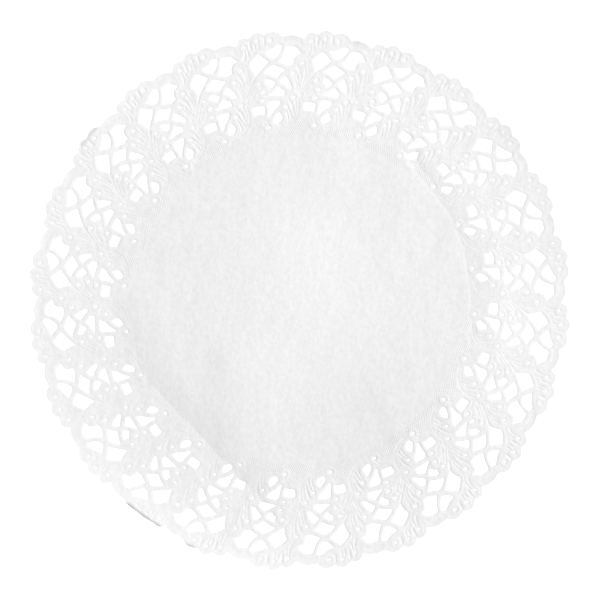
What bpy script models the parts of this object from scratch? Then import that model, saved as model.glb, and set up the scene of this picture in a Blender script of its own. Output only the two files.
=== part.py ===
"""A round paper lace doily: one die-cut, embossed sheet that lies flat on its underside.

The lace is one motif repeated round a plain middle. Seen from above, with +Y at the top,
the repeats follow each other clockwise. A place in a repeat is its share u of the repeat's
turn and its radius r in millimetres. A place on a leaf is the distance x in millimetres,
clockwise from the leaf's axis, and the radius r.
"""
import math

import bmesh
import bpy
from mathutils import Matrix, Vector
from mathutils.geometry import delaunay_2d_cdt

MM = 0.001
ALL_TRIANGLES = 0
MERGE_DISTANCE = 1e-6

# Driving dimensions, in millimetres, degrees and counts
REPEATS = 24
THICKNESS = 1.0
CURVE_TOLERANCE = 0.2
PLAIN_RADIUS = 91.0
PLAIN_SPOTS_PER_REPEAT = 2
MIDDLE_RING_RADIUS = 45.0
MIDDLE_RING_SPOTS = 9

RIB_RISE = 0.6
GROOVE_RISE = 0.15
EYE_RISE = 0.5
WAVE_RISE = 0.4

# The sheet is stretched a little along one line through its middle, as damp paper is
OVAL_STRETCH = 0.003
OVAL_TURN = 60.0

# One side of the rim lifts off the table past a straight crease in the sheet
FLAP_TURN = 231.0
FLAP_CREASE_DISTANCE = 86.0
FLAP_RISE_PER_MM = 0.075
FLAP_HALF_WIDTH = 150.0

# On the lifted side two runs of scallops are turned down at the rim: the first and last
# turn of the run, in repeats clockwise from +Y, and the radius of its bend
TURNED_SLOPE = math.radians(56.0)
TURNED_RUNS = (
    (14.02, 14.76, 148.6),
    (13.49, 13.70, 151.0),
)

# The ten openings of a repeat. Columns of each corner, clockwise from above: u, r, and how
# far in millimetres the side from there to the next corner bows outwards
OPENINGS = {
    "kite": (
        (0.370, 140.7, 0.0), (0.500, 135.6, 0.0), (0.248, 129.0, -0.2), (0.203, 135.7, 0.7),
    ),
    "blade": (
        (0.485, 141.5, -0.2), (0.700, 145.0, 0.2), (0.724, 143.3, 0.5), (0.600, 137.3, 0.1),
    ),
    "shield": (
        (0.804, 142.8, 0.3), (0.930, 142.9, 0.2), (1.020, 140.1, 0.3), (0.930, 138.7, -0.8),
        (0.900, 133.6, 0.1), (0.822, 133.4, 0.1), (0.674, 136.3, -0.35),
    ),
    "lozenge": (
        (0.585, 133.7, 0.0), (0.742, 130.4, -0.2), (0.590, 126.8, -0.2), (0.414, 130.0, 0.0),
    ),
    "bead": (
        (0.430, 126.1, 0.1), (0.490, 125.8, 0.2), (0.554, 123.8, 0.1), (0.484, 121.9, 0.2),
        (0.406, 123.8, 0.2),
    ),
    "spear": (
        (0.755, 127.0, 0.3), (0.854, 119.9, 0.2), (0.802, 119.7, -0.1), (0.658, 124.3, 0.0),
    ),
    "wedge": (
        (0.620, 121.3, -0.1), (0.720, 117.7, 0.1), (0.700, 115.9, 0.0), (0.415, 116.8, -0.2),
    ),
    "brick": (
        (0.078, 111.9, 0.15), (0.304, 111.8, 0.0), (0.285, 106.6, -0.35), (0.083, 107.3, 0.0),
    ),
    "fin": (
        (0.398, 113.4, 0.0), (0.440, 113.9, 0.0), (0.630, 113.4, 0.4), (0.392, 105.2, 0.1),
        (0.354, 105.5, -0.35),
    ),
    "petal": (
        (0.583, 107.2, 0.2), (0.642, 103.9, 0.3), (0.520, 100.4, 0.2), (0.445, 102.5, 0.1),
    ),
}

# The rim's notches. Columns: u, r, and the outward bow of the scallop or wave that follows
RIM = (
    (0.050, 148.0, 2.0),
    (0.262, 150.2, 2.4),
    (0.487, 151.0, 2.4),
    (0.730, 149.4, 1.4),
)

# The raised ribs of a leaf and the low grooves between them. Columns: from x, from r, to x,
# to r, and the bow to the right of the way it runs
LEAF_RIBS = (
    (-2.2, 119.8, -5.3, 129.2, 0.5),
    (-0.9, 120.4, -2.6, 131.3, 1.1),
    (0.1, 120.0, 1.3, 134.6, 2.7),
    (0.8, 118.4, 5.9, 124.2, 0.0),
    (1.2, 116.0, 7.3, 122.2, 0.0),
)
LEAF_GROOVES = (
    (-1.6, 120.6, -4.1, 130.4, 0.7),
    (-0.4, 120.6, -0.6, 134.0, 1.8),
    (0.8, 119.4, 3.9, 126.0, 0.2),
    (1.3, 117.4, 6.4, 123.0, 0.0),
)
LEAF_FOOT_RIBS = (
    (-2.0, 115.0, -11.4, 98.6, -5.2),
    (-4.2, 112.6, -7.4, 101.8, -1.6),
    (-6.6, 111.4, -8.3, 105.0, -0.6),
)
LEAF_FOOT_GROOVES = (
    (-3.2, 113.6, -8.6, 100.2, -3.2),
    (-5.6, 112.2, -7.6, 103.6, -1.0),
)

# The raised eye in each scallop. Columns: u, r
SCALLOP_EYES = (
    (0.165, 148.0),
    (0.372, 150.0),
    (0.575, 149.6),
)

# The wave's raised line: from u, r, to u, r, and its outward bow
WAVE_LINE = (0.80, 146.6, 1.00, 145.6, 0.6)


def turned(u, r):
    """The point at share u of a repeat's turn and radius r."""
    turn = 2.0 * math.pi * u / REPEATS
    return Vector((r * math.sin(turn), r * math.cos(turn)))


def bowed(start, end, bow):
    """Points from start up to, but not at, end, on a parabola that bows to the left."""
    along = end - start
    left = Vector((-along.y, along.x)).normalized()
    steps = max(1, math.ceil(math.sqrt(abs(bow) / CURVE_TOLERANCE)))
    shares = [step / steps for step in range(steps)]
    return [start + along * t + left * (4.0 * bow * t * (1.0 - t)) for t in shares]


def closed_outline(corners):
    """A closed outline through corners given as u, r and bow."""
    points = []
    for index, (u, r, bow) in enumerate(corners):
        next_u, next_r, _ = corners[(index + 1) % len(corners)]
        points += bowed(turned(u, r), turned(next_u, next_r), bow)
    return points


def opening_outlines():
    """Every opening of every repeat, anticlockwise from above."""
    outlines = []
    for repeat in range(REPEATS):
        for corners in OPENINGS.values():
            moved = [(u + repeat, r, bow) for u, r, bow in corners]
            outlines.append(closed_outline(moved)[::-1])
    return outlines


def rim_outline():
    """The scalloped rim, anticlockwise from above."""
    corners = []
    for repeat in range(REPEATS):
        corners += [(u + repeat, r, bow) for u, r, bow in RIM]
    return closed_outline(corners)[::-1]


def leaf_line(row, repeat):
    """A rib or groove on the leaf at the start of a repeat."""
    x, r, end_x, end_r, bow = row
    turn = Matrix.Rotation(-2.0 * math.pi * repeat / REPEATS, 2)
    start = turn @ Vector((x, r))
    end = turn @ Vector((end_x, end_r))
    return bowed(start, end, -bow) + [end]


def raised_lines():
    """Each raised or low line of the embossing, with its height above the sheet."""
    lines = []
    for repeat in range(REPEATS):
        for row in LEAF_RIBS + LEAF_FOOT_RIBS:
            lines.append((leaf_line(row, repeat), RIB_RISE))
        for row in LEAF_GROOVES + LEAF_FOOT_GROOVES:
            lines.append((leaf_line(row, repeat), GROOVE_RISE))
        for u, r in SCALLOP_EYES:
            lines.append(([turned(u + repeat, r)], EYE_RISE))
        u, r, end_u, end_r, bow = WAVE_LINE
        start = turned(u + repeat, r)
        end = turned(end_u + repeat, end_r)
        lines.append((bowed(start, end, bow) + [end], WAVE_RISE))
    return lines


def ring(count, radius):
    """Single level points on a ring in the plain middle."""
    return [([turned(REPEATS * (spot + 0.5) / count, radius)], 0.0) for spot in range(count)]


def triangles_between(outlines, lines):
    """Delaunay triangles inside the first outline and outside the others.

    Gives the flat points, with those of the outlines first, and the triangles.
    """
    points = []
    loops = []
    edges = []
    for outline in outlines:
        loops.append([len(points) + index for index in range(len(outline))])
        points += outline
    for line, _ in lines:
        edges += [(len(points) + index, len(points) + index + 1) for index in range(len(line) - 1)]
        points += line
    found = delaunay_2d_cdt(points, edges, loops, ALL_TRIANGLES, MERGE_DISTANCE)
    flat, triangles, owners = found[0], found[2], found[5]
    return flat, [three for three, owner in zip(triangles, owners) if list(owner) == [0]]


def flap_lift(x, y):
    """How far the sheet stands off the table past the crease."""
    turn = math.radians(FLAP_TURN)
    outwards = x * math.sin(turn) + y * math.cos(turn)
    sideways = x * math.cos(turn) - y * math.sin(turn)
    past = max(0.0, outwards - FLAP_CREASE_DISTANCE)
    share = min(1.0, abs(sideways) / FLAP_HALF_WIDTH)
    return FLAP_RISE_PER_MM * past * math.cos(0.5 * math.pi * share) ** 2


def settled(point):
    """A point of the flat sheet, in millimetres, moved to where the real sheet has it."""
    x, y, z = point
    radius = math.hypot(x, y)
    turn = math.atan2(x, y) / (2.0 * math.pi) * REPEATS % REPEATS
    z += flap_lift(x, y)
    for first, last, bend_radius in TURNED_RUNS:
        if first < turn < last and radius > bend_radius:
            over = radius - bend_radius
            kept = (bend_radius + over * math.cos(TURNED_SLOPE)) / radius
            x, y = x * kept, y * kept
            z -= over * math.sin(TURNED_SLOPE)
    direction = math.radians(OVAL_TURN)
    axis = Vector((math.sin(direction), math.cos(direction)))
    along = Vector((x, y)).dot(axis)
    across = Vector((x, y)) - along * axis
    moved = axis * along * (1.0 + OVAL_STRETCH) + across * (1.0 - OVAL_STRETCH)
    return Vector((moved.x, moved.y, z)) * MM


def sheet_mesh():
    """The sheet as one closed mesh: an embossed top, an underside and the cut walls."""
    outlines = [rim_outline()] + opening_outlines()
    border = sum(len(outline) for outline in outlines)
    level = ring(REPEATS * PLAIN_SPOTS_PER_REPEAT, PLAIN_RADIUS)
    level += ring(MIDDLE_RING_SPOTS, MIDDLE_RING_RADIUS)
    lines = level + raised_lines()
    heights = [0.0] * border + [rise for line, rise in lines for _ in line]

    mesh = bmesh.new()
    flat, triangles = triangles_between(outlines, lines)
    top = [mesh.verts.new((p.x, p.y, THICKNESS + rise)) for p, rise in zip(flat, heights)]
    for a, b, c in triangles:
        mesh.faces.new((top[a], top[b], top[c]))

    flat, triangles = triangles_between(outlines, level)
    underside = [mesh.verts.new((p.x, p.y, 0.0)) for p in flat]
    for a, b, c in triangles:
        mesh.faces.new((underside[c], underside[b], underside[a]))

    first = 0
    for outline in outlines:
        count = len(outline)
        for index in range(count):
            here = first + index
            after = first + (index + 1) % count
            wall = (top[here], underside[here], underside[after], top[after])
            mesh.faces.new(wall)
        first += count

    bmesh.ops.triangulate(mesh, faces=[face for face in mesh.faces if len(face.verts) > 3])
    for vert in mesh.verts:
        vert.co = settled(vert.co)
    bmesh.ops.recalc_face_normals(mesh, faces=mesh.faces[:])
    return mesh


def paper_material():
    material = bpy.data.materials.new("paper")
    material.use_nodes = True
    shader = material.node_tree.nodes["Principled BSDF"]
    shader.inputs["Base Color"].default_value = (0.87, 0.87, 0.86, 1.0)
    shader.inputs["Roughness"].default_value = 0.85
    shader.inputs["Metallic"].default_value = 0.0
    return material


def clear_scene():
    for item in list(bpy.data.objects):
        bpy.data.objects.remove(item)


def main():
    clear_scene()
    mesh = bpy.data.meshes.new("doily")
    sheet = sheet_mesh()
    sheet.to_mesh(mesh)
    sheet.free()
    mesh.materials.append(paper_material())
    doily = bpy.data.objects.new("doily", mesh)
    bpy.context.scene.collection.objects.link(doily)


main()
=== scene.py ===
import math

import bpy
import numpy as np
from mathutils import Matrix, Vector
from mathutils.geometry import delaunay_2d_cdt


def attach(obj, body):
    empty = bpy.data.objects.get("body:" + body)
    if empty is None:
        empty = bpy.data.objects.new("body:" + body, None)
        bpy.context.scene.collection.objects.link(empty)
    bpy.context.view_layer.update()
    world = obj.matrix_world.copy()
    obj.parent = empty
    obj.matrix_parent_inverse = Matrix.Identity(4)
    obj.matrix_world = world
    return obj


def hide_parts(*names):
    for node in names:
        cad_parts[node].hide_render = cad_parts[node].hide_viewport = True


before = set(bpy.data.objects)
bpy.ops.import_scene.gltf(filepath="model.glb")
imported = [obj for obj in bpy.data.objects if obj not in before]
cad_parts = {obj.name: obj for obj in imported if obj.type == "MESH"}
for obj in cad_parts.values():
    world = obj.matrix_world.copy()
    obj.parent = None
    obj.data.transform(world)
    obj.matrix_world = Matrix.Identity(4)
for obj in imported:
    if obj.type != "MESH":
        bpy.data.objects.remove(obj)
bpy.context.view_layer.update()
print("frame loaded")

# Sizes are in millimetres and turned to metres where a mesh is made. A place in the lace is
# its share u of a repeat's turn, clockwise from +Y, and its radius r.
millimetre = 0.001
withNeighbours = (-1, 0, 1)  # a repeat and the ones on its two sides
withNext = (0, 1)  # a repeat holds parts of two leaves, its own and the next one's

pattern = {
    "repeats": 24,
    "plainRadius": 93.0,
    "leafReach": 0.6,  # a leaf's own frame starts this share of a repeat before its middle
    # where one repeat ends and the next begins, clear of every opening: u, r
    "seam": [(0.05, 93.0), (0.05, 127.0), (0.105, 134.0), (0.05, 140.5), (0.05, 148.0)],
    # corners clockwise from above: u, r, outward bow of the side to the next corner
    "openings": {
        "kite": [
            (0.361, 141.0, 0.0), (0.496, 136.1, 0.0), (0.248, 129.0, -0.4), (0.194, 135.8, 0.4),
        ],
        "blade": [
            (0.465, 141.7, -0.4), (0.674, 145.3, 0.0), (0.733, 144.4, 0.85), (0.605, 137.6, 0.0),
            (0.567, 137.9, 0.2),
        ],
        "shield": [
            (0.787, 143.5, 0.3), (0.933, 143.3, 0.0), (1.019, 139.7, 0.0), (0.934, 138.6, -0.7),
            (0.893, 133.8, 0.0), (0.799, 133.1, 0.0), (0.664, 135.4, -0.6),
        ],
        "lozenge": [
            (0.572, 134.0, 0.0), (0.749, 130.8, -0.1), (0.601, 126.6, -0.4), (0.397, 129.8, 0.4),
        ],
        "bead": [
            (0.410, 126.3, 0.2), (0.493, 125.8, 0.0), (0.566, 124.0, 0.1), (0.510, 121.5, 0.1),
            (0.470, 121.6, -0.55), (0.396, 123.7, -0.35),
        ],
        "spear": [
            (0.751, 127.2, 0.55), (0.849, 120.0, 0.0), (0.790, 120.1, -0.3), (0.652, 124.2, 0.35),
        ],
        "wedge": [
            (0.616, 121.5, 0.0), (0.723, 118.6, -0.1), (0.706, 116.2, 0.0), (0.414, 117.1, -0.1),
        ],
        "brick": [
            (0.075, 111.7, 0.5), (0.302, 111.3, 0.0), (0.281, 107.0, -0.15), (0.082, 107.5, 0.0),
        ],
        "fin": [
            (0.386, 112.4, 0.1), (0.442, 114.1, 0.0), (0.622, 113.4, 0.1), (0.585, 110.7, -0.4),
            (0.383, 105.1, 0.0), (0.352, 105.5, -0.3),
        ],
        "petal": [
            (0.582, 107.2, 0.15), (0.635, 103.8, 0.7), (0.482, 100.7, 0.1), (0.440, 102.7, 0.35),
        ],
    },
    # notches of the rim: u, r, outward bow of the scallop or wave that follows
    "rim": [(0.0535, 148.15, 2.4), (0.257, 150.7, 2.6), (0.482, 151.5, 2.5), (0.740, 149.6, 1.5)],
    # small punched eyes: u, r, half width round the turn, half height along the radius
    "eyes": [
        (1.037, 134.2, 0.40, 0.36), (0.878, 128.6, 0.47, 0.53), (0.279, 124.7, 0.44, 0.34),
        (0.339, 119.6, 0.56, 0.32), (0.293, 114.8, 0.56, 0.32), (0.882, 115.0, 0.50, 0.32),
        (0.722, 109.7, 0.43, 0.50), (0.317, 99.2, 0.60, 0.56),
    ],
    "scallopEyes": [
        (0.167, 146.5, 0.42, 0.34), (0.365, 148.7, 0.30, 0.25), (0.557, 148.0, 0.42, 0.27),
    ],
    "openingInset": 0.2,  # a cut runs this far inside its drawn corners
}

mesher = {
    "outlineSpacing": 0.46,
    "fewestEyeSteps": 10,
    "cornerRounds": 2,  # smoothing passes that round a cut corner
    "laceSpacing": 0.46,
    "plainSpacing": 1.0,
    "arcSpacing": 0.8,
    "edgeRows": [0.28, 0.60, 0.95, 1.30],  # rows of points along each cut edge
    "veinRows": [0.0, 0.24, 0.47, 0.7],  # rows of points along each vein, on both sides
    "rimRows": [0.65, 1.0, 1.35, 1.7, 2.1, 2.6, 3.0, 3.4, 3.8, 4.3],  # and inside the rim
    "fillAcross": (-8.0, 48.0), "fillAlong": (85.0, 156.0),  # a box round the first repeat
    "sharpAngle": 60.0,
    "clearance": 0.22,  # nothing but the path itself is nearer to a cut
    "plainClearance": 0.6,  # the same for the border of the plain middle
    "cell": 0.34,  # thinning distance
    "mergeDistance": 1e-6,
    "repeatsInPiece": 4,
}


def turned(u, r):
    # the place x, y of a share of a repeat's turn and a radius
    turn = 2.0 * math.pi * np.asarray(u, float) / pattern["repeats"]
    return np.stack([r * np.sin(turn), r * np.cos(turn)], axis=-1)


def rotated(points, u):
    # points carried clockwise round the middle by a share of a repeat
    turn = 2.0 * math.pi * u / pattern["repeats"]
    c, s = math.cos(turn), math.sin(turn)
    return points @ np.array([[c, -s], [s, c]])


def bowedPath(start, end, bow, spacing):
    # a straight line from start to end plus a parabola that swells it to the left by bow
    along = end - start
    length = math.hypot(*along)
    left = np.array([-along[1], along[0]]) / length
    steps = max(1, round(length / spacing))
    t = (np.arange(steps) / steps)[:, None]
    return start + along * t + left * (4.0 * bow * t * (1.0 - t))


def insetPath(path, distance):
    # a closed clockwise path moved to its right, which is inwards
    along = np.roll(path, -1, axis=0) - np.roll(path, 1, axis=0)
    along /= np.hypot(*along.T)[:, None]
    return path + distance * np.stack([along[:, 1], -along[:, 0]], axis=-1)


def smoothed(path, closed=True):
    # each point drawn halfway to the middle of its neighbours
    mean = 0.5 * path + 0.25 * (np.roll(path, 1, axis=0) + np.roll(path, -1, axis=0))
    if not closed:
        mean[0], mean[-1] = path[0], path[-1]
    return mean


def cornerPath(corners, spacing, closed=True):
    # the bowed sides between corners given as u, r and bow, with the corners worn round
    following = corners[1:] + corners[:1] if closed else corners[1:]
    sides = [
        bowedPath(turned(u, r), turned(nextU, nextR), bow, spacing)
        for (u, r, bow), (nextU, nextR, _) in zip(corners, following)
    ]
    path = np.concatenate(sides if closed else sides + [turned(*corners[-1][:2])[None]])
    if closed:
        path = insetPath(path, pattern["openingInset"])
    for _ in range(mesher["cornerRounds"]):
        path = smoothed(path, closed)
    return path


def eyePath(u, r, across, along):
    # an ellipse with its axes round the turn and along the radius
    steps = max(mesher["fewestEyeSteps"], round(math.pi * (across + along) / mesher["outlineSpacing"]))
    angle = 2.0 * math.pi * np.arange(steps) / steps
    shape = np.stack([across * np.sin(angle), along * np.cos(angle)], axis=-1)
    return rotated(shape + np.array([0.0, r]), u)


def distanceToPath(points, path, closed=True):
    # the shortest way from each point to the straight runs of a path
    ends = np.roll(path, -1, axis=0) if closed else path[1:]
    starts = path if closed else path[:-1]
    best = np.full(len(points), np.inf)
    for start, end in zip(starts, ends):
        along = end - start
        t = np.clip((points - start) @ along / (along @ along), 0.0, 1.0)
        best = np.minimum(best, np.hypot(*(points - start - t[:, None] * along).T))
    return best


def insidePath(points, path):
    # true where an odd number of the path's runs lies to the right of the point
    x, y = points.T
    odd = np.zeros(len(points), bool)
    for (ax, ay), (bx, by) in zip(path, np.roll(path, -1, axis=0)):
        if ay != by:
            crosses = (ay > y) != (by > y)
            odd ^= crosses & (x < (bx - ax) * (y - ay) / (by - ay) + ax)
    return odd


def near(points, path, reach):
    low, high = path.min(axis=0) - reach, path.max(axis=0) + reach
    return np.all((points > low) & (points < high), axis=1)


def smallestDistance(points, paths, reach, closed=True):
    # distance to the nearest of several paths, or reach where none is that close
    best = np.full(len(points), float(reach))
    for path in paths:
        close = near(points, path, reach)
        if close.any():
            best[close] = np.minimum(best[close], distanceToPath(points[close], path, closed))
    return best


def moved(paths, shifts):
    # copies of the paths, each carried by every one of the shifts
    return [rotated(path, shift) for shift in shifts for path in paths]


def offsetRow(path, offset):
    # points at a set distance beside a path, along the normal of each of its points, on both sides
    along = np.gradient(path, axis=0)
    along /= np.hypot(*along.T)[:, None]
    aside = np.stack([-along[:, 1], along[:, 0]], axis=-1)
    return np.concatenate([path + offset * aside, path - offset * aside])


def resampled(path, spacing):
    # even steps along an open path
    gaps = np.hypot(*np.diff(path, axis=0).T)
    length = np.concatenate([[0.0], np.cumsum(gaps)])
    places = np.linspace(0.0, length[-1], max(2, round(length[-1] / spacing) + 1))
    return np.stack([np.interp(places, length, path[:, 0]), np.interp(places, length, path[:, 1])], axis=-1)


def firstInCells(points, cell):
    # thins points, keeping the earliest in each cell of four shifted grids
    for shift in ((0.0, 0.0), (0.5, 0.0), (0.0, 0.5), (0.5, 0.5)):
        _, kept = np.unique(np.floor(points / cell + shift), axis=0, return_index=True)
        points = points[np.sort(kept)]
    return points


embossing = {
    "reach": 5.5,  # distances to a cut are worked out up to this
    # a slight ridge beside an opening: distance of its middle from the cut, width, rise
    "ridgeOffset": 1.35, "ridgeWidth": 1.1, "ridgeRise": 0.02,
    "rollWidth": 1.35, "rollDepth": 0.07,  # the sheet rounds down towards an opening
    "edgeDrop": 0.018, "edgeDropWidth": 0.4,  # the die turns every cut edge down
    "edgeUnevenness": 0.6, "edgePatch": 23.0,  # how much that varies, over patches this long
    "edgeToneWidth": 0.9,  # how wide the lit strip along a cut is
    # the ring round an eye and the dip inside it: distance past the eye's edge, width, rise
    "ringOffset": 1.7, "ringWidth": 0.6, "ringRise": 0.05,
    "dipWidth": 0.9, "dipDepth": 0.02,
    "rimRidgeOffset": 0.7, "rimRidgeWidth": 0.45, "rimRidgeRise": 0.03,
    "veinHalfWidth": 0.68,
    "veinFade": 0.8,  # veins run out this far from a cut edge
    # veins pressed into a leaf: x, r, end x, end r, bow to the right of the way it runs, depth
    "leafVeins": [
        (-2.0, 118.2, -3.7, 126.6, 0.4, 0.07),
        (-0.4, 118.8, -2.1, 127.4, 0.1, 0.08),
        (0.1, 123.8, -1.8, 132.3, 1.0, 0.06),
        (0.3, 121.0, 2.2, 132.5, 1.35, 0.055),
        (0.0, 119.2, 4.2, 132.2, 1.6, 0.06),
        (-0.2, 118.0, 7.9, 128.2, 0.0, 0.09),
        (0.3, 116.3, 7.4, 124.8, 0.0, 0.09),
        (2.6, 116.4, 7.1, 121.8, 0.0, 0.08),
        (8.1, 120.6, 10.9, 122.7, -0.2, 0.06),
        (6.3, 116.3, 11.6, 116.8, -0.6, 0.06),
        (1.0, 112.9, 4.8, 114.6, -0.3, 0.04),
        # the crescents below the knot, from the outermost in
        (-1.4, 114.0, -12.0, 97.6, -5.0, 0.065),
        (-2.9, 113.4, -12.0, 99.2, -4.4, 0.06),
        (-6.3, 113.0, -4.0, 105.4, -0.6, 0.08),
        (-6.8, 108.3, -4.9, 102.2, -0.3, 0.085),
        (-8.1, 107.2, -6.9, 101.4, -0.4, 0.07),
        # the curl above the low eye
        (6.9, 103.4, 8.3, 101.0, -0.3, 0.06),
        (5.3, 102.7, 6.4, 100.6, -0.3, 0.045),
    ],
    # veins of the scallops: u, r, end u, end r, bow to the left of the way it runs, depth
    "scallopVeins": [
        (0.252, 149.3, 0.250, 144.6, 0.0, 0.095),
        (0.473, 150.2, 0.464, 146.2, 0.0, 0.095),
        (0.155, 144.6, 0.120, 139.2, 0.4, 0.09),
        (0.197, 144.8, 0.203, 141.2, 0.0, 0.07),
        (0.322, 147.2, 0.318, 144.4, 0.0, 0.085),
        (0.373, 146.6, 0.365, 143.8, 0.0, 0.08),
        (0.156, 137.4, 0.360, 143.8, 0.8, 0.05),
    ],
    # round dimples: u, r, width, depth
    "dimples": [
        (0.181, 148.2, 0.75, 0.055), (0.190, 145.5, 0.6, 0.025), (0.375, 150.2, 0.8, 0.06),
        (0.378, 148.0, 0.6, 0.04), (0.573, 149.2, 0.75, 0.055), (0.579, 147.7, 0.6, 0.04),
        (0.760, 147.4, 0.85, 0.065), (0.998, 145.6, 0.9, 0.065), (0.255, 140.9, 0.8, 0.045),
        (0.030, 140.1, 0.7, 0.035), (0.685, 145.8, 0.7, 0.04),
    ],
    "tipBoss": (0.933, 136.3, 1.5, 0.07),  # the raised tip of the leaf: u, r, width, rise
    # the cross-hatched ground: its radii, the tongue that climbs beside the leaf, and how far it
    # stops short of the veins and the eyes
    "hatchBottom": 92.8, "hatchTop": 98.8, "hatchTongue": 4.2,
    "hatchTongueMiddle": 0.05, "hatchTongueHalf": 0.22,
    "hatchVeinGap": 0.9, "hatchEyeGap": 1.6,
    # grooves that follow the wave of the rim: distance from it, half width, depth
    "waveGrooves": [(1.75, 0.6, 0.03), (3.3, 0.85, 0.048)],
    "waveFrom": 0.735, "waveTo": 1.035, "waveFade": 0.02,  # shares of a repeat where they run
    # how deep the pattern is pressed: turn clockwise from the top in degrees, share
    "pressing": [
        (0, 1.5), (60, 1.2), (105, 1.35), (140, 1.75), (188, 1.4), (206, 0.85), (250, 0.75), (275, 1.05),
        (320, 1.45),
    ],
    "pressingUnevenness": 0.25, "pressingPatch": 41.0,
    # crossing waves that make uneven patches: share of x, share of y, phase
    "patchWaves": [(1.0, 0.8, 1.3), (0.6, -1.1, 2.0), (0.4, 1.3, 0.5 * math.pi)],
}


def veinPath(start, end, bow):
    start, end = np.array(start, float), np.array(end, float)
    return np.concatenate([bowedPath(start, end, -bow, mesher["laceSpacing"]), end[None]])


def leafPaths():
    # each vein of the leaf and each crescent as a path in the leaf's frame, with its depth
    return [
        (veinPath((x, r), (endX, endR), bow), depth)
        for x, r, endX, endR, bow, depth in embossing["leafVeins"]
    ]


def scallopPaths():
    return [
        (veinPath(turned(u, r), turned(endU, endR), -bow), depth)
        for u, r, endU, endR, bow, depth in embossing["scallopVeins"]
    ]


def bump(distance, middle, width):
    # a bell curve of the distance
    return np.exp(-(((distance - middle) / width) ** 2))


def repeatShare(points):
    # the turn of each point, counted in repeats
    return np.arctan2(points[:, 0], points[:, 1]) / (2.0 * math.pi) * pattern["repeats"]


openingPaths = [cornerPath(corners, mesher["outlineSpacing"]) for corners in pattern["openings"].values()]
eyePaths = [eyePath(*row) for row in pattern["eyes"] + pattern["scallopEyes"]]
firstNotch = pattern["rim"][0]
rimCorners = pattern["rim"] + [(firstNotch[0] + 1.0, firstNotch[1], 0.0)]
rimPath = cornerPath(rimCorners, mesher["outlineSpacing"], closed=False)


def raisedHeight(points, toOpening, toEye, toRim, toCut):
    # the highest of the ridges beside the openings and the rim, the rings round the eyes and the
    # tip of the leaf, less the dips inside the rings and the rounding down towards an opening
    height = np.maximum.reduce([
        embossing["ridgeRise"] * bump(toOpening, embossing["ridgeOffset"], embossing["ridgeWidth"]),
        embossing["ringRise"] * bump(toEye, embossing["ringOffset"], embossing["ringWidth"]),
        embossing["rimRidgeRise"] * bump(toRim, embossing["rimRidgeOffset"], embossing["rimRidgeWidth"]),
    ])
    u, r, width, rise = embossing["tipBoss"]
    for shift in withNeighbours:
        boss = bump(np.hypot(*(points - turned(u + shift, r)).T), 0.0, width)
        height = np.maximum(height, rise * boss * np.clip(toCut / width, 0.0, 1.0))
    height -= embossing["dipDepth"] * bump(toEye, 0.0, embossing["dipWidth"])
    rolled = np.sin(0.5 * math.pi * np.clip(toOpening / embossing["rollWidth"], 0.0, 1.0))
    return height - embossing["rollDepth"] * (1.0 - rolled)


def sunkDepth(points, toRim, toCut):
    # the deepest of the veins, the dimples and the grooves along the waves of the rim; a vein is
    # a parabola across, so that veins side by side meet in a sharp ridge
    fade = np.clip(toCut / embossing["veinFade"], 0.0, 1.0) ** 2
    half = embossing["veinHalfWidth"]
    sunk = np.zeros(len(points))
    for paths, shifts in ((leafPaths(), withNext), (scallopPaths(), withNeighbours)):
        for path, depth in paths:
            for shift in shifts:
                distance = smallestDistance(points, [rotated(path, shift)], half, closed=False)
                sunk = np.maximum(sunk, depth * fade * (1.0 - (distance / half) ** 2))
    for u, r, width, depth in embossing["dimples"]:
        for shift in withNeighbours:
            distance = np.hypot(*(points - turned(u + shift, r)).T)
            sunk = np.maximum(sunk, depth * bump(distance, 0.0, width))

    first, last = embossing["waveFrom"], embossing["waveTo"]
    aside = np.abs((repeatShare(points) - 0.5 * (first + last) + 0.5) % 1.0 - 0.5)
    onWave = np.clip((0.5 * (last - first) - aside) / embossing["waveFade"], 0.0, 1.0)
    for offset, groove, depth in embossing["waveGrooves"]:
        across = np.clip(1.0 - ((toRim - offset) / groove) ** 2, 0.0, 1.0)
        sunk = np.maximum(sunk, depth * onWave * across)
    return sunk


def relief(points):
    # height of the pressed pattern above the plain sheet, the share of the cut edge's drop, and
    # the share of the lit strip along a cut
    reach = embossing["reach"]
    toOpening = smallestDistance(points, moved(openingPaths, withNeighbours), reach)
    toEye = smallestDistance(points, moved(eyePaths, withNeighbours), reach)
    toRim = smallestDistance(points, moved([rimPath], withNeighbours), reach, closed=False)
    toCut = np.minimum(np.minimum(toOpening, toEye), toRim)
    height = raisedHeight(points, toOpening, toEye, toRim, toCut) - sunkDepth(points, toRim, toCut)
    drop = bump(toCut, 0.0, embossing["edgeDropWidth"])
    return height, drop, bump(toCut, 0.0, embossing["edgeToneWidth"])


def patchy(points, size):
    # the mean of crossing waves, from -1 to 1, whose patches are about half of size long
    x, y = 2.0 * math.pi * points.T / size
    waves = [np.sin(shareX * x + shareY * y + phase) for shareX, shareY, phase in embossing["patchWaves"]]
    return sum(waves) / len(waves)


def pressingShare(points):
    # how deep the pattern is pressed at each place of the whole sheet
    turns, shares = np.array(embossing["pressing"], float).T
    turn = np.degrees(np.arctan2(points[:, 0], points[:, 1])) % 360.0
    unevenness = embossing["pressingUnevenness"] * patchy(points, embossing["pressingPatch"])
    return np.interp(turn, turns, shares, period=360.0) * (1.0 + unevenness)


def clearOf(points, paths, gap, closed=True):
    # 0 up to the gap from the paths, and rising to 1 over the next millimetre
    return np.clip(smallestDistance(points, paths, gap + 1.0, closed) - gap, 0.0, 1.0)


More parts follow.
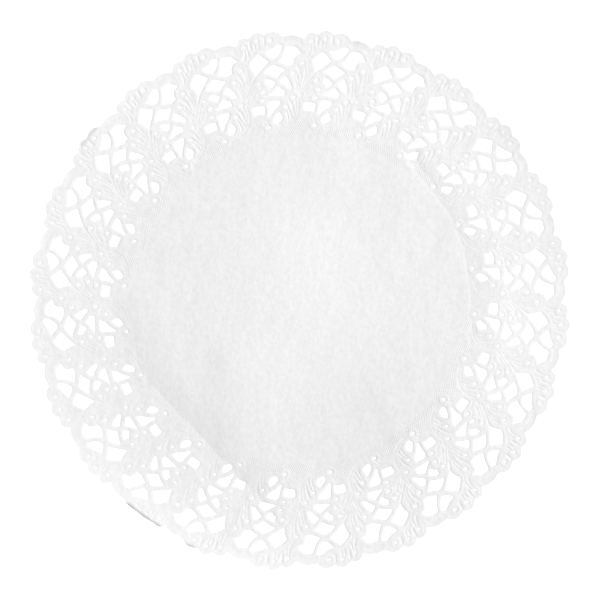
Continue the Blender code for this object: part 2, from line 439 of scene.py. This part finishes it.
def hatchMask(points):
    # 1 on the cross-hatched ground round the plain middle, which climbs beside each leaf, and 0
    # on the crescents and round the eye
    share = (repeatShare(points) + pattern["leafReach"]) % 1.0 - pattern["leafReach"]
    radius = np.hypot(*points.T)
    aside = np.abs(share - embossing["hatchTongueMiddle"]) / embossing["hatchTongueHalf"]
    top = embossing["hatchTop"] + embossing["hatchTongue"] * np.sqrt(np.clip(1.0 - aside, 0.0, 1.0))
    mask = np.clip(top - radius, 0.0, 1.0) * np.clip(radius - embossing["hatchBottom"], 0.0, 1.0)
    veins = [rotated(path, shift) for path, _ in leafPaths() for shift in withNext]
    mask *= clearOf(points, veins, embossing["hatchVeinGap"], closed=False)
    return mask * clearOf(points, moved(eyePaths, withNeighbours), embossing["hatchEyeGap"])


# the outline of one repeat, anticlockwise: down its first seam, along the plain middle, up its
# last seam and back along the rim
seamUp = resampled(turned(*np.array(pattern["seam"]).T), mesher["outlineSpacing"])
arcSteps = round(2.0 * math.pi * pattern["plainRadius"] / pattern["repeats"] / mesher["arcSpacing"])
arcShares = pattern["seam"][0][0] + np.arange(1, arcSteps) / arcSteps
innerArc = turned(arcShares, pattern["plainRadius"])
outlineOfRepeat = np.concatenate([seamUp[::-1], innerArc, rotated(seamUp, 1.0), rimPath[-2:0:-1]])
firstSeam = np.arange(len(seamUp))[::-1]
lastSeam = np.arange(len(seamUp)) + len(seamUp) + len(innerArc)


def lacePoints():
    # points of one repeat: rows beside every cut edge and along every vein, then an even fill,
    # thinned in that order
    cuts = openingPaths + eyePaths
    spread = []
    for offset in mesher["edgeRows"]:
        spread += [offsetRow(path, offset) for path in cuts + [rimPath]]
    for path, _ in leafPaths():
        for shift in withNext:
            spread += [offsetRow(rotated(path, shift), offset) for offset in mesher["veinRows"]]
    for path, _ in scallopPaths():
        spread += [offsetRow(path, offset) for offset in mesher["veinRows"]]
    spread += [offsetRow(rimPath, offset) for offset in mesher["rimRows"]]
    spread.append(evenFill(mesher["laceSpacing"], mesher["fillAcross"], mesher["fillAlong"]))
    points = np.concatenate(spread)
    points = points[insidePath(points, outlineOfRepeat)]
    for path in cuts:
        points = points[~insidePath(points, path)]
    toCut = smallestDistance(points, cuts + [outlineOfRepeat], 2.0 * mesher["clearance"])
    return firstInCells(points[toCut > mesher["clearance"]], mesher["cell"])


def evenFill(spacing, acrossRange, alongRange):
    # rows of an even triangular grid over a rectangle
    rows = np.arange(alongRange[0], alongRange[1], spacing * math.sqrt(0.75))
    columns = np.arange(acrossRange[0], acrossRange[1], spacing)
    x = columns[None, :] + 0.5 * spacing * (np.arange(len(rows)) % 2)[:, None]
    y = np.broadcast_to(rows[:, None], x.shape)
    return np.stack([x.ravel(), y.ravel()], axis=-1)


def anticlockwise(path):
    # the same path, the other way round where its signed area is below zero
    x, y = path.T
    area = np.sum(x * np.roll(y, -1) - y * np.roll(x, -1))
    return path if area > 0.0 else path[::-1]


def triangulated(outer, holes, inner):
    # Delaunay triangles inside the outer path and outside the holes, all anticlockwise; the
    # paths' points come first, and each border edge has the sheet on its left
    paths = [outer] + holes
    firsts = np.cumsum([0] + [len(path) for path in paths])
    loops = [list(range(first, first + len(path))) for first, path in zip(firsts, paths)]
    points = np.concatenate(paths + [inner])
    found = delaunay_2d_cdt([Vector(point) for point in points], [], loops, 0, mesher["mergeDistance"])
    kept = np.array([three for three, owner in zip(found[2], found[5]) if list(owner) == [0]])
    a, b, c = points[kept].transpose(1, 0, 2)
    turnsLeft = (b - a)[:, 0] * (c - a)[:, 1] - (b - a)[:, 1] * (c - a)[:, 0]
    kept[turnsLeft < 0.0] = kept[turnsLeft < 0.0][:, ::-1]
    loops = [loops[0]] + [loop[::-1] for loop in loops[1:]]
    borders = np.array([(a, b) for loop in loops for a, b in zip(loop, loop[1:] + loop[:1])])
    return points, kept, borders


holePaths = [anticlockwise(path) for path in openingPaths + eyePaths]
repeatPoints, repeatTriangles, repeatBorders = triangulated(outlineOfRepeat, holePaths, lacePoints())
print("one repeat:", len(repeatPoints), "points", len(repeatTriangles), "triangles")
repeatLines, repeatDrop, repeatEdge = relief(repeatPoints)
repeatHatch = hatchMask(repeatPoints)
for values in (repeatLines, repeatDrop, repeatEdge, repeatHatch):
    values[lastSeam] = values[firstSeam]
print("pattern pressed")

lie = {
    "rest": 0.25,  # the plain sheet's underside above the table
    "level": 0.4,  # how far above that it lies on the whole
    "thickness": 0.14,
    # the side at this turn stands higher by a level, reached over a run on both sides of the
    # middle, and its rim lifts by a rise, from the start on and ever steeper
    "flapTurn": 231.0, "flapLevel": 1.1, "flapRun": 86.0, "flapHalfWidth": 150.0,
    "flapStart": 120.0, "flapRim": 32.0, "flapRise": 0.55, "flapPower": 2.0,
    # the rim curls up between these radii: turn clockwise from the top in degrees, slope at the end
    "curlStart": 127.0, "curlEnd": 151.5,
    "curls": [
        (15, 0.025), (45, 0.028), (75, 0.025), (105, 0.01), (135, -0.03), (165, 0.14), (195, 0.17),
        (225, 0.04), (240, -0.01), (255, 0.01), (285, 0.02), (315, 0.02), (345, 0.02),
    ],
    # scallops turned down past a bend, and steeper still past the reach of that slope: first turn,
    # last turn, counted in repeats, bend radius, slope in degrees and its reach; a slope below
    # zero lifts
    "turnedSteep": 84.0, "turnedFade": 0.06,
    "turnedRuns": [
        (14.03, 14.72, 149.5, 25.0, 1.4), (13.49, 13.72, 151.2, 24.0, 2.0), (20.3, 20.74, 150.2, 16.0, 9.0),
        (0.79, 1.04, 145.5, -4.5, 9.0), (3.27, 3.73, 146.5, -2.5, 9.0),
    ],
    "ovalTurn": 60.0, "ovalStretch": 0.003,  # the sheet is a little longer along this turn
    "routeSteps": 8,  # steps from one point of a fold's route to the next
    # folds: kind, rise, width on the left and on the right of the way it runs, length of the
    # fading start and of the fading end, and the points x, y it runs through; a crease has a
    # sharp line, a roll none, and past a bend, on its right, the sheet stays at its level
    "folds": {
        "mainBend": ("bend", -1.06, 21.0, 1.0, 88.0, 46.0, [
            (-107, 17), (-100, 3), (-95, -14), (-92, -31), (-86, -45), (-62, -70), (-40.5, -93.5),
            (-20, -115), (-6, -138),
        ]),
        "upperShoulder": ("bend", -0.17, 8.0, 1.0, 30.0, 24.0, [
            (-112, 20), (-106, 2), (-101, -15), (-98, -32), (-94, -46), (-84, -58),
        ]),
        "innerRoll": ("roll", 0.50, 40.0, 19.0, 20.0, 18.0, [(-37, -14), (-37, -40), (-35, -60), (-28, -84)]),
        "topRoll": ("roll", 0.33, 22.0, 22.0, 30.0, 30.0, [(10, 120), (15, 94), (20, 70), (24, 44)]),
        "rightRoll": ("roll", 0.26, 24.0, 24.0, 30.0, 26.0, [(50, -4), (52, 24), (56, 56), (52, 88)]),
        "ringLine": ("crease", -0.13, 15.0, 2.8, 12.0, 18.0, [
            (56, 91), (61, 80), (67, 70.5), (75, 61), (83, 50), (88, 41), (92, 30), (94.2, 19),
            (96, 5), (96.6, -14), (95, -34),
        ]),
        "ringBack": ("roll", 0.08, 26.0, 15.0, 20.0, 20.0, [
            (64, 98), (73, 84), (86, 66), (96, 48), (102, 30), (104, 14),
        ]),
        "rightEdge": ("roll", 0.33, 17.0, 24.0, 16.0, 14.0, [(108, 28), (110, 6), (110, -18), (106, -46)]),
        "cornerFold": ("crease", -0.17, 4.2, 9.0, 6.0, 9.0, [
            (62, 95), (64.6, 86), (65.8, 79), (68.4, 74.3), (73, 69), (80, 60),
        ]),
        "lowerRight1": ("roll", 0.20, 20.0, 8.0, 10.0, 10.0, [(40, -46), (48, -62), (54, -78), (58, -98)]),
        "lowerRight2": ("roll", 0.13, 14.0, 6.0, 8.0, 8.0, [(80, -48), (84, -62), (88, -76)]),
        "lowerLine": ("crease", 0.06, 8.0, 4.0, 6.0, 6.0, [(18, -72), (24, -84), (28, -96)]),
    },
    # broad swells and hollows: x, y, half length, half width to the left and to the right of it,
    # turn of the length, rise
    "swells": [
        (-20.0, 8.0, 75.0, 44.0, 44.0, 8.0, 1.3),
        (-6.0, 10.0, 34.0, 24.0, 24.0, 12.0, 0.32),
        (94.0, -62.0, 58.0, 58.0, 120.0, 0.0, 2.1),
        (50.0, -42.0, 48.0, 50.0, 64.0, 0.0, 1.1),
        (-88.0, -9.0, 20.0, 12.0, 12.0, 10.0, 0.22),
        (-122.0, 15.0, 46.0, 26.0, 26.0, 0.0, -0.2),
        (-125.0, -3.0, 15.0, 14.0, 40.0, 0.0, 0.32),
        (118.0, -8.0, 50.0, 88.0, 50.0, 0.0, 0.8),
        (38.0, -138.0, 24.0, 90.0, 34.0, 0.0, 0.5),
        (-72.0, -140.0, 16.0, 60.0, 30.0, 0.0, 0.4),
        (-101.0, -93.0, 46.0, 24.0, 24.0, 135.0, -0.5),
    ],
}


def turnedDown(x, y, z):
    # past the bend radius the sheet runs on at the slope, and past the reach at the steep slope,
    # so the rest of the radius is shorter; the ends of each run fade
    radius = np.hypot(x, y)
    turn = np.arctan2(x, y) / (2.0 * math.pi) * pattern["repeats"] % pattern["repeats"]
    steep = math.radians(lie["turnedSteep"])
    for first, last, bendRadius, degrees, reach in lie["turnedRuns"]:
        slope = math.radians(degrees)
        within = np.clip(np.minimum(turn - first, last - turn) / lie["turnedFade"], 0.0, 1.0)
        past = np.maximum(radius - bendRadius, 0.0)
        sloped = within * np.minimum(past, reach)
        fallen = within * np.maximum(past - reach, 0.0)
        kept = 1.0 - (sloped * (1.0 - math.cos(slope)) + fallen * (1.0 - math.cos(steep))) / radius
        x, y, z = x * kept, y * kept, z - sloped * math.sin(slope) - fallen * math.sin(steep)
    return x, y, z


def flapLift(x, y):
    # a rise that steepens towards the rim on a level step, both fading to the sides with a
    # squared cosine
    turn = math.radians(lie["flapTurn"])
    outwards = x * math.sin(turn) + y * math.cos(turn)
    sideways = np.minimum(np.abs(x * math.cos(turn) - y * math.sin(turn)) / lie["flapHalfWidth"], 1.0)
    past = np.maximum(outwards - lie["flapStart"], 0.0) / lie["flapRim"]
    step = np.clip(0.5 + 0.5 * outwards / lie["flapRun"], 0.0, 1.0)
    level = lie["flapLevel"] * step**2 * (3.0 - 2.0 * step)
    return (level + lie["flapRise"] * past ** lie["flapPower"]) * np.cos(0.5 * math.pi * sideways) ** 2


def rimCurl(x, y):
    # a parabola along the radius, steeper or flatter round the turn
    turns, slopes = np.array(lie["curls"], float).T
    slope = np.interp(np.degrees(np.arctan2(x, y)) % 360.0, turns, slopes, period=360.0)
    past = np.maximum(np.hypot(x, y) - lie["curlStart"], 0.0)
    return 0.5 * slope * past**2 / (lie["curlEnd"] - lie["curlStart"])


def smoothRoute(route, steps):
    # a Catmull-Rom curve through the points of a route: the cubic from b to c whose slope at
    # each end is half the way between that end's neighbours
    route = np.array(route, float)
    padded = np.concatenate([[2.0 * route[0] - route[1]], route, [2.0 * route[-1] - route[-2]]])
    t = (np.arange(steps) / steps)[:, None]
    spans = []
    for a, b, c, d in zip(padded, padded[1:], padded[2:], padded[3:]):
        squared = (2.0 * a - 5.0 * b + 4.0 * c - d) * t**2
        cubed = (3.0 * b - a - 3.0 * c + d) * t**3
        spans.append(0.5 * (2.0 * b + (c - a) * t + squared + cubed))
    return np.concatenate(spans + [route[-1:]])


def foldRise(points, kind, rise, leftWidth, rightWidth, startLength, endLength, route):
    # highest on the route and fading with the sideways distance: as its square for a crease,
    # which leaves a sharp line, and as a smooth step for a roll; a bend fades on its left alone
    path = smoothRoute(route, lie["routeSteps"])
    lengths = np.concatenate([[0.0], np.cumsum(np.hypot(*np.diff(path, axis=0).T))])
    best = np.full(len(points), np.inf)
    side = np.zeros(len(points))
    place = np.zeros(len(points))
    for start, end, startsAt, endsAt in zip(path, path[1:], lengths, lengths[1:]):
        along = end - start
        share = np.clip((points - start) @ along / (along @ along), 0.0, 1.0)
        off = points - start - share[:, None] * along
        distance = np.hypot(*off.T)
        closer = distance < best
        best = np.where(closer, distance, best)
        side = np.where(closer, along[0] * off[:, 1] - along[1] * off[:, 0], side)
        place = np.where(closer, startsAt + share * (endsAt - startsAt), place)
    width = np.where(side > 0.0, leftWidth, rightWidth)
    share = np.maximum(1.0 - best / width, 0.0)
    profile = share**2 * (3.0 - 2.0 * share) if kind == "roll" else share**2
    if kind == "bend":
        profile = np.where(side > 0.0, profile, 1.0)
    ends = np.clip(np.minimum(place / startLength, (lengths[-1] - place) / endLength), 0.0, 1.0)
    return rise * profile * ends**2 * (3.0 - 2.0 * ends)


def swellRise(points, x, y, halfLength, leftWidth, rightWidth, turn, rise):
    # a bell on an oval, which may be wider on one side
    c, s = math.cos(math.radians(turn)), math.sin(math.radians(turn))
    away = points - np.array([x, y])
    along, across = away @ np.array([s, c]), away @ np.array([c, -s])
    width = np.where(across < 0.0, leftWidth, rightWidth)
    return rise * np.exp(-((along / halfLength) ** 2) - (across / width) ** 2)


def settled(points, height):
    # a point of the flat sheet moved to where the sheet lies, in metres
    x, y = points.T
    z = lie["level"] + flapLift(x, y) + rimCurl(x, y)
    for fold in lie["folds"].values():
        z = z + foldRise(points, *fold)
    for swell in lie["swells"]:
        z = z + swellRise(points, *swell)
    x, y, z = turnedDown(x, y, np.maximum(z, 0.0) + lie["rest"])
    z = np.maximum(z, lie["rest"]) + height
    direction = math.radians(lie["ovalTurn"])
    axis = np.array([math.sin(direction), math.cos(direction)])
    flat = np.stack([x, y], axis=-1)
    along = (flat @ axis)[:, None] * axis
    flat = along * (1.0 + lie["ovalStretch"]) + (flat - along) * (1.0 - lie["ovalStretch"])
    return np.column_stack([flat, z]) * millimetre


def leafPlaces(points, leaf):
    # points carried back, each by its own count of repeats, to the frame of the first leaf
    turn = 2.0 * math.pi * leaf / pattern["repeats"]
    x, y = points.T
    return np.stack([x * np.cos(turn) - y * np.sin(turn), x * np.sin(turn) + y * np.cos(turn)], axis=-1)


def sheetPiece(name, points, height, masks, triangles, borders):
    # the sheet between its upper face and the same face a thickness lower, walled at its borders
    count = len(points)
    corners = np.concatenate([settled(points, height + lie["thickness"]), settled(points, height)])
    a, b = borders.T
    walls = np.concatenate([np.stack([a + count, b + count, b], 1), np.stack([a + count, b, a], 1)])
    faces = np.concatenate([triangles, triangles[:, ::-1] + count, walls])
    mesh = bpy.data.meshes.new(name)
    mesh.vertices.add(len(corners))
    mesh.vertices.foreach_set("co", corners.ravel())
    mesh.loops.add(3 * len(faces))
    mesh.loops.foreach_set("vertex_index", faces.ravel())
    mesh.polygons.add(len(faces))
    mesh.polygons.foreach_set("loop_start", np.arange(0, 3 * len(faces), 3))
    mesh.polygons.foreach_set("loop_total", np.full(len(faces), 3))
    mesh.update(calc_edges=True)

    flat = np.concatenate([points, points])[faces]
    leaf = np.floor(repeatShare(flat.mean(axis=1)) + pattern["leafReach"])
    places = leafPlaces(flat.reshape(-1, 2), np.repeat(leaf, 3))
    mesh.uv_layers.new(name="pressing").data.foreach_set("uv", places.ravel())
    for mask, values in masks.items():
        mesh.attributes.new(mask, "FLOAT", "POINT").data.foreach_set("value", np.tile(values, 2))
    mesh.shade_smooth()
    mesh.set_sharp_from_angle(angle=math.radians(mesher["sharpAngle"]))
    mesh.validate()
    piece = bpy.data.objects.new(name, mesh)
    bpy.context.scene.collection.objects.link(piece)
    return piece


def lacePiece(name, first):
    # several repeats side by side, sharing the points of the seams between them
    repeats = mesher["repeatsInPiece"]
    count = len(repeatPoints)
    index = np.arange(repeats * count).reshape(repeats, count)
    index[1:, firstSeam] = index[:-1, lastSeam]
    points = np.concatenate([rotated(repeatPoints, first + step) for step in range(repeats)])
    triangles = np.concatenate([index[step][repeatTriangles] for step in range(repeats)])

    onFirst = np.isin(repeatBorders, firstSeam).all(axis=1)
    onLast = np.isin(repeatBorders, lastSeam).all(axis=1)
    borders = []
    for step in range(repeats):
        kept = ~((onFirst & (step > 0)) | (onLast & (step < repeats - 1)))
        borders.append(index[step][repeatBorders[kept]])

    used, renumbered = np.unique(triangles, return_inverse=True)
    borders = np.searchsorted(used, np.concatenate(borders))
    points = points[used]
    lines, drop, edge, hatch = [
        np.tile(values, repeats)[used] for values in (repeatLines, repeatDrop, repeatEdge, repeatHatch)
    ]
    share = pressingShare(points)
    uneven = 1.0 + embossing["edgeUnevenness"] * patchy(points, embossing["edgePatch"])
    height = lines * share - embossing["edgeDrop"] * uneven * drop
    masks = {"hatch": hatch * share, "edge": edge}
    return sheetPiece(name, points, height, masks, renumbered.reshape(-1, 3), borders)


def plainPiece(name):
    # the disc inside the lace, whose rim uses the same points as the lace's inner border
    arc = np.concatenate([turned(pattern["seam"][0][0], pattern["plainRadius"])[None], innerArc])
    rim = np.concatenate([rotated(arc, step) for step in range(pattern["repeats"])])
    reach = pattern["plainRadius"]
    inner = evenFill(mesher["plainSpacing"], (-reach, reach), (-reach, reach))
    inner = inner[np.hypot(*inner.T) < reach - mesher["plainClearance"]]
    points, triangles, borders = triangulated(rim[::-1], [], inner)
    blank = np.zeros(len(points))
    return sheetPiece(name, points, blank, {"hatch": blank, "edge": blank}, triangles, borders)


finish = {
    "colour": (0.82, 0.82, 0.818),
    "roughness": 0.9,
    "specular": 0.25,
    # painted light and shade from the middle out, lighter in the middle and at the rim and darker between:
    # radius in mm, share of the colour
    "paintedRings": [
        (0, 1.048), (30, 1.024), (50, 0.989), (78, 0.98), (96, 0.977), (112, 0.984), (132, 1.034),
        (148, 1.092),
    ],
    "ringReach": 160.0,  # where the ramp ends
    "edgeTone": 0.014,  # light comes through the thin cut edges
    "noiseRoughness": 0.62,
    # clouds of fibre: size in mm, detail, how far they change the colour, and the noise values
    # that are their darkest and lightest
    "cloudSize": 2.8, "cloudDetail": 4.0, "cloudTone": 0.036, "cloudLow": 0.3, "cloudHigh": 0.7,
    # felt of the fibre: size and depth in mm, and detail
    "grainSize": 1.8, "grainDetail": 4.0, "grainDepth": 0.095,
    # slack of the sheet: size across, how many times longer it is along, turn of that, depth
    "slackSize": 11.0, "slackDetail": 3.0, "slackStretch": 1.6, "slackTurn": 20.0, "slackDepth": 0.42,
    # cross-hatch: distance between its lines in mm, the ways they step, in degrees, and depth
    "hatchPitch": 1.03, "hatchAngles": (-51.7, 28.4), "hatchDepth": 0.056,
}


def noise(nodes, links, coordinates, size, detail):
    texture = nodes.new("ShaderNodeTexNoise")
    texture.inputs["Scale"].default_value = 1.0 / (size * millimetre)
    texture.inputs["Detail"].default_value = detail
    texture.inputs["Roughness"].default_value = finish["noiseRoughness"]
    links.new(coordinates, texture.inputs["Vector"])
    return texture.outputs["Fac"]


def calculated(nodes, links, operation, first, second):
    # a math node whose two values are numbers or sockets
    node = nodes.new("ShaderNodeMath")
    node.operation = operation
    for socket, value in zip(node.inputs, (first, second)):
        if isinstance(value, (int, float)):
            socket.default_value = value
        else:
            links.new(value, socket)
    return node.outputs["Value"]


def maskValue(nodes, name):
    attribute = nodes.new("ShaderNodeAttribute")
    attribute.attribute_name = name
    return attribute.outputs["Fac"]


def cloudTone(nodes, links, place):
    # the clouds of fibre as a share of the colour
    tone = nodes.new("ShaderNodeMapRange")
    tone.inputs["From Min"].default_value = finish["cloudLow"]
    tone.inputs["From Max"].default_value = finish["cloudHigh"]
    tone.inputs["To Min"].default_value = 1.0 - finish["cloudTone"]
    tone.inputs["To Max"].default_value = 1.0 + finish["cloudTone"]
    clouds = noise(nodes, links, place, finish["cloudSize"], finish["cloudDetail"])
    links.new(clouds, tone.inputs["Value"])
    return tone.outputs["Result"]


def paintedRingShade(nodes, links, place):
    # painted light and shade by the distance from the middle, as a smooth ramp
    radius = nodes.new("ShaderNodeVectorMath")
    radius.operation = "LENGTH"
    links.new(place, radius.inputs[0])
    paintedRings = nodes.new("ShaderNodeValToRGB")
    reach = finish["ringReach"] * millimetre
    links.new(calculated(nodes, links, "DIVIDE", radius.outputs["Value"], reach), paintedRings.inputs["Fac"])
    ramp = paintedRings.color_ramp
    ramp.interpolation = "B_SPLINE"
    while len(ramp.elements) < len(finish["paintedRings"]):
        ramp.elements.new(1.0)
    for element, (place, share) in zip(ramp.elements, finish["paintedRings"]):
        element.position = place / finish["ringReach"]
        element.color = (share, share, share, 1.0)
    return paintedRings.outputs["Color"]


def paperColour(nodes, links, place):
    # the colour times the clouds, the painted light and shade of the rings and the light through the cut
    # edges
    scaled = nodes.new("ShaderNodeVectorMath")
    scaled.operation = "SCALE"
    scaled.inputs[0].default_value = finish["colour"]
    edge = calculated(nodes, links, "MULTIPLY", maskValue(nodes, "edge"), finish["edgeTone"])
    lit = calculated(nodes, links, "ADD", edge, 1.0)
    clouds, paintedRings = cloudTone(nodes, links, place), paintedRingShade(nodes, links, place)
    toned = calculated(nodes, links, "MULTIPLY", calculated(nodes, links, "MULTIPLY", clouds, paintedRings), lit)
    links.new(toned, scaled.inputs["Scale"])
    return scaled.outputs["Vector"]


def hatchPits(nodes, links):
    # where two families of lines, drawn in the leaf's own frame, leave pits between them
    place = nodes.new("ShaderNodeUVMap")
    place.uv_map = "pressing"
    apart = nodes.new("ShaderNodeSeparateXYZ")
    links.new(place.outputs["UV"], apart.inputs["Vector"])
    perPitch = math.pi / finish["hatchPitch"]
    lines = []
    for angle in finish["hatchAngles"]:
        turn = math.radians(angle)
        x = calculated(nodes, links, "MULTIPLY", apart.outputs["X"], perPitch * math.cos(turn))
        y = calculated(nodes, links, "MULTIPLY", apart.outputs["Y"], perPitch * math.sin(turn))
        wave = calculated(nodes, links, "SINE", calculated(nodes, links, "ADD", x, y), 0.0)
        lines.append(calculated(nodes, links, "MULTIPLY", wave, wave))
    pits = calculated(nodes, links, "MULTIPLY", *lines)
    return calculated(nodes, links, "MULTIPLY", pits, maskValue(nodes, "hatch"))


def slackPlace(nodes, links, place):
    # stretched along its turn, so the slack of the sheet runs that way
    mapping = nodes.new("ShaderNodeMapping")
    mapping.vector_type = "TEXTURE"
    mapping.inputs["Rotation"].default_value[2] = -math.radians(finish["slackTurn"])
    mapping.inputs["Scale"].default_value[1] = finish["slackStretch"]
    links.new(place, mapping.inputs["Vector"])
    return mapping.outputs["Vector"]


def bumpNode(nodes, links, height, depth):
    node = nodes.new("ShaderNodeBump")
    node.inputs["Distance"].default_value = depth * millimetre
    links.new(height, node.inputs["Height"])
    return node


def paperMaterial():
    material = bpy.data.materials.new("paper")
    material.use_nodes = True
    nodes, links = material.node_tree.nodes, material.node_tree.links
    shader = nodes["Principled BSDF"]
    shader.inputs["Roughness"].default_value = finish["roughness"]
    shader.inputs["Specular IOR Level"].default_value = finish["specular"]
    place = nodes.new("ShaderNodeTexCoord").outputs["Object"]
    links.new(paperColour(nodes, links, place), shader.inputs["Base Color"])

    slack = noise(nodes, links, slackPlace(nodes, links, place), finish["slackSize"], finish["slackDetail"])
    grain = noise(nodes, links, place, finish["grainSize"], finish["grainDetail"])
    hatchBump = bumpNode(nodes, links, hatchPits(nodes, links), finish["hatchDepth"])
    hatchBump.invert = True
    slackBump = bumpNode(nodes, links, slack, finish["slackDepth"])
    grainBump = bumpNode(nodes, links, grain, finish["grainDepth"])
    links.new(hatchBump.outputs["Normal"], slackBump.inputs["Normal"])
    links.new(slackBump.outputs["Normal"], grainBump.inputs["Normal"])
    links.new(grainBump.outputs["Normal"], shader.inputs["Normal"])
    return material


paper = paperMaterial()
# width and length of each flat piece in metres, and its paper in square metres
flatSizes = {"plain": (0.186, 0.186, 0.02717), "lace": (0.1535, 0.0730, 0.00602)}
pieces = [(plainPiece("plainMiddle"), flatSizes["plain"])]
for number in range(pattern["repeats"] // mesher["repeatsInPiece"]):
    piece = lacePiece(f"laceBorder{number + 1}", number * mesher["repeatsInPiece"])
    pieces.append((piece, flatSizes["lace"]))
for piece, (flatWidth, flatLength, flatArea) in pieces:
    piece.data.materials.append(paper)
    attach(piece, "root")
    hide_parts("doily")
print("sheet laid:", sum(len(piece.data.polygons) for piece, _ in pieces), "triangles")

studio = {
    "floorHalf": 1.5, "floorColour": (0.95, 0.95, 0.95), "floorGlow": 0.75,
    "ambient": 0.42,
    # the main light: turn clockwise from +Y, height and spread in degrees, strength
    "lightTurn": 75.0, "lightHeight": 33.0, "lightSpread": 25.0, "lightStrength": 3.58,
    # a weak lamp past the top right of the sheet, in metres and watts
    "farLampX": 0.1, "farLampY": 0.48, "farLampHeight": 0.45, "farLampSize": 0.3, "farLampPower": 0.26,
    # the camera, and the width that it frames on the table, in metres
    "cameraX": 0.0001, "cameraY": -0.00008, "cameraHeight": 3.0, "frameWidth": 0.3395,
}


def floorStage():
    half = studio["floorHalf"]
    corners = [(-half, -half, 0), (half, -half, 0), (half, half, 0), (-half, half, 0)]
    mesh = bpy.data.meshes.new("floor")
    mesh.from_pydata(corners, [], [(0, 1, 2, 3)])
    material = bpy.data.materials.new("floor")
    material.use_nodes = True
    shader = material.node_tree.nodes["Principled BSDF"]
    shader.inputs["Base Color"].default_value = (*studio["floorColour"], 1.0)
    shader.inputs["Roughness"].default_value = 1.0
    shader.inputs["Specular IOR Level"].default_value = 0.0
    shader.inputs["Emission Color"].default_value = (1.0, 1.0, 1.0, 1.0)
    shader.inputs["Emission Strength"].default_value = studio["floorGlow"]
    mesh.materials.append(material)
    floor = bpy.data.objects.new("floor", mesh)
    bpy.context.scene.collection.objects.link(floor)


def sideLight():
    light = bpy.data.lights.new("sideLight", "SUN")
    light.angle = math.radians(studio["lightSpread"])
    light.energy = studio["lightStrength"]
    lamp = bpy.data.objects.new("sideLight", light)
    turn, height = math.radians(studio["lightTurn"]), math.radians(studio["lightHeight"])
    towards = Vector((math.sin(turn) * math.cos(height), math.cos(turn) * math.cos(height), math.sin(height)))
    lamp.rotation_euler = towards.to_track_quat("Z", "Y").to_euler()
    bpy.context.scene.collection.objects.link(lamp)


def farLamp():
    light = bpy.data.lights.new("farLamp", "AREA")
    light.size = studio["farLampSize"]
    light.energy = studio["farLampPower"]
    lamp = bpy.data.objects.new("farLamp", light)
    lamp.location = (studio["farLampX"], studio["farLampY"], studio["farLampHeight"])
    lamp.rotation_euler = lamp.location.to_track_quat("Z", "Y").to_euler()
    bpy.context.scene.collection.objects.link(lamp)


def overheadCamera():
    camera = bpy.data.objects.new("camera", bpy.data.cameras.new("camera"))
    camera.location = (studio["cameraX"], studio["cameraY"], studio["cameraHeight"])
    camera.data.lens = camera.data.sensor_width * studio["cameraHeight"] / studio["frameWidth"]
    bpy.context.scene.collection.objects.link(camera)
    bpy.context.scene.camera = camera


world = bpy.data.worlds.new("studio")
world.use_nodes = True
world.node_tree.nodes["Background"].inputs["Color"].default_value = (1.0, 1.0, 1.0, 1.0)
world.node_tree.nodes["Background"].inputs["Strength"].default_value = studio["ambient"]
bpy.context.scene.world = world
bpy.context.scene.view_settings.view_transform = "Standard"
floorStage()
sideLight()
farLamp()
overheadCamera()
print("studio set")
